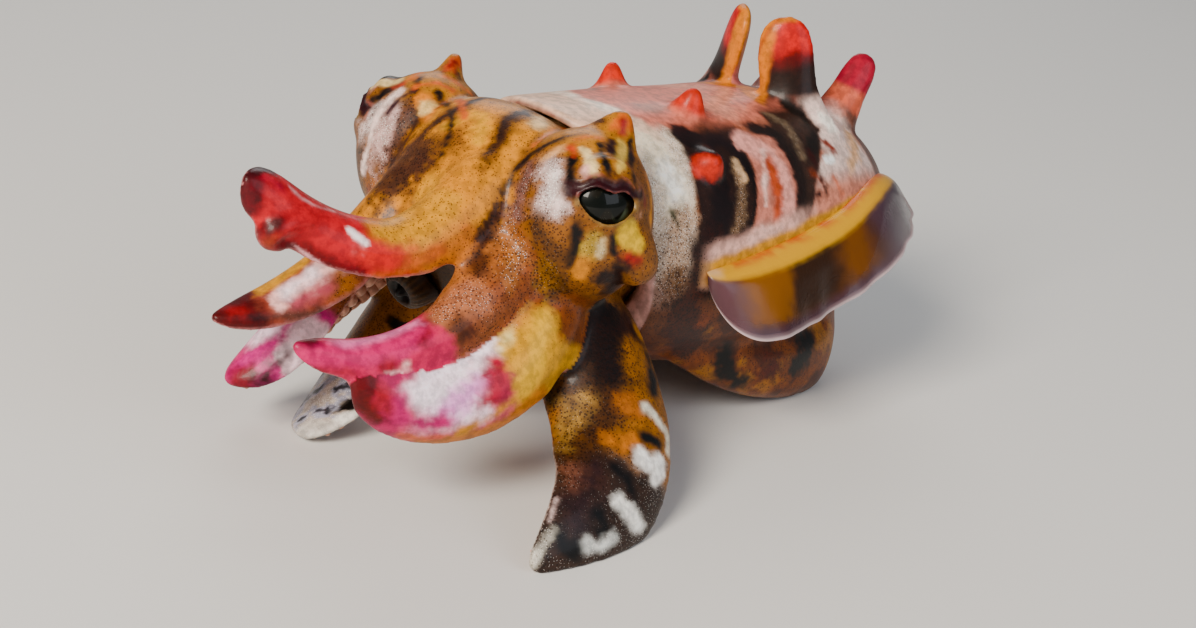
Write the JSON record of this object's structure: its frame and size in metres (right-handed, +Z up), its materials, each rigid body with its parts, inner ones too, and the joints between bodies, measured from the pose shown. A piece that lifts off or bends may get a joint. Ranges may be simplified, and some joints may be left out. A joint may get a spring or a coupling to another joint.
{
  "type": "flamboyant cuttlefish",
  "caption": "Life-size flamboyant cuttlefish walking on its lowest arms and belly flaps, with raised papillae, waved fins and curled, bright-tipped arms.",
  "frame": {"origin": "middle of the underside of the box round the whole animal", "axes": "+Z up, the head and arms towards -Y, the tail towards +Y, the animal's left side towards +X"},
  "size_m": [0.0552, 0.1042, 0.0477],
  "materials": {
    "arm_base_skin": "satin, wet",
    "arm_tip_skin": "satin, wet",
    "belly_skin": "satin, wet",
    "eye": "gloss",
    "fin_membrane": "satin, wet",
    "funnel_skin": "satin, wet",
    "head_skin": "satin, wet",
    "mantle_skin": "satin, wet",
    "mouth_skin": "satin, wet",
    "walking_arm_skin": "satin, wet"
  },
  "bodies": {
    "root": {"arm1_left_base": "arm_base_skin", "arm1_left_tip": "arm_tip_skin", "arm1_right_base": "arm_base_skin", "arm1_right_tip": "arm_tip_skin", "arm2_left_base": "arm_base_skin", "arm2_left_tip": "arm_tip_skin", "arm2_right_base": "arm_base_skin", "arm2_right_tip": "arm_tip_skin", "arm3_left_base": "arm_base_skin", "arm3_left_tip": "arm_tip_skin", "arm3_right_base": "arm_base_skin", "arm3_right_tip": "arm_tip_skin", "arm4_left_base": "walking_arm_skin", "arm4_left_tip": "walking_arm_skin", "arm4_right_base": "walking_arm_skin", "arm4_right_tip": "walking_arm_skin", "belly_flap_left": "belly_skin", "belly_flap_right": "belly_skin", "eye_left": "eye", "eye_right": "eye", "fin_left": "fin_membrane", "fin_right": "fin_membrane", "funnel": "funnel_skin", "head": "head_skin", "mantle": "mantle_skin", "mouth": "mouth_skin"}
  },
  "joints": []
}
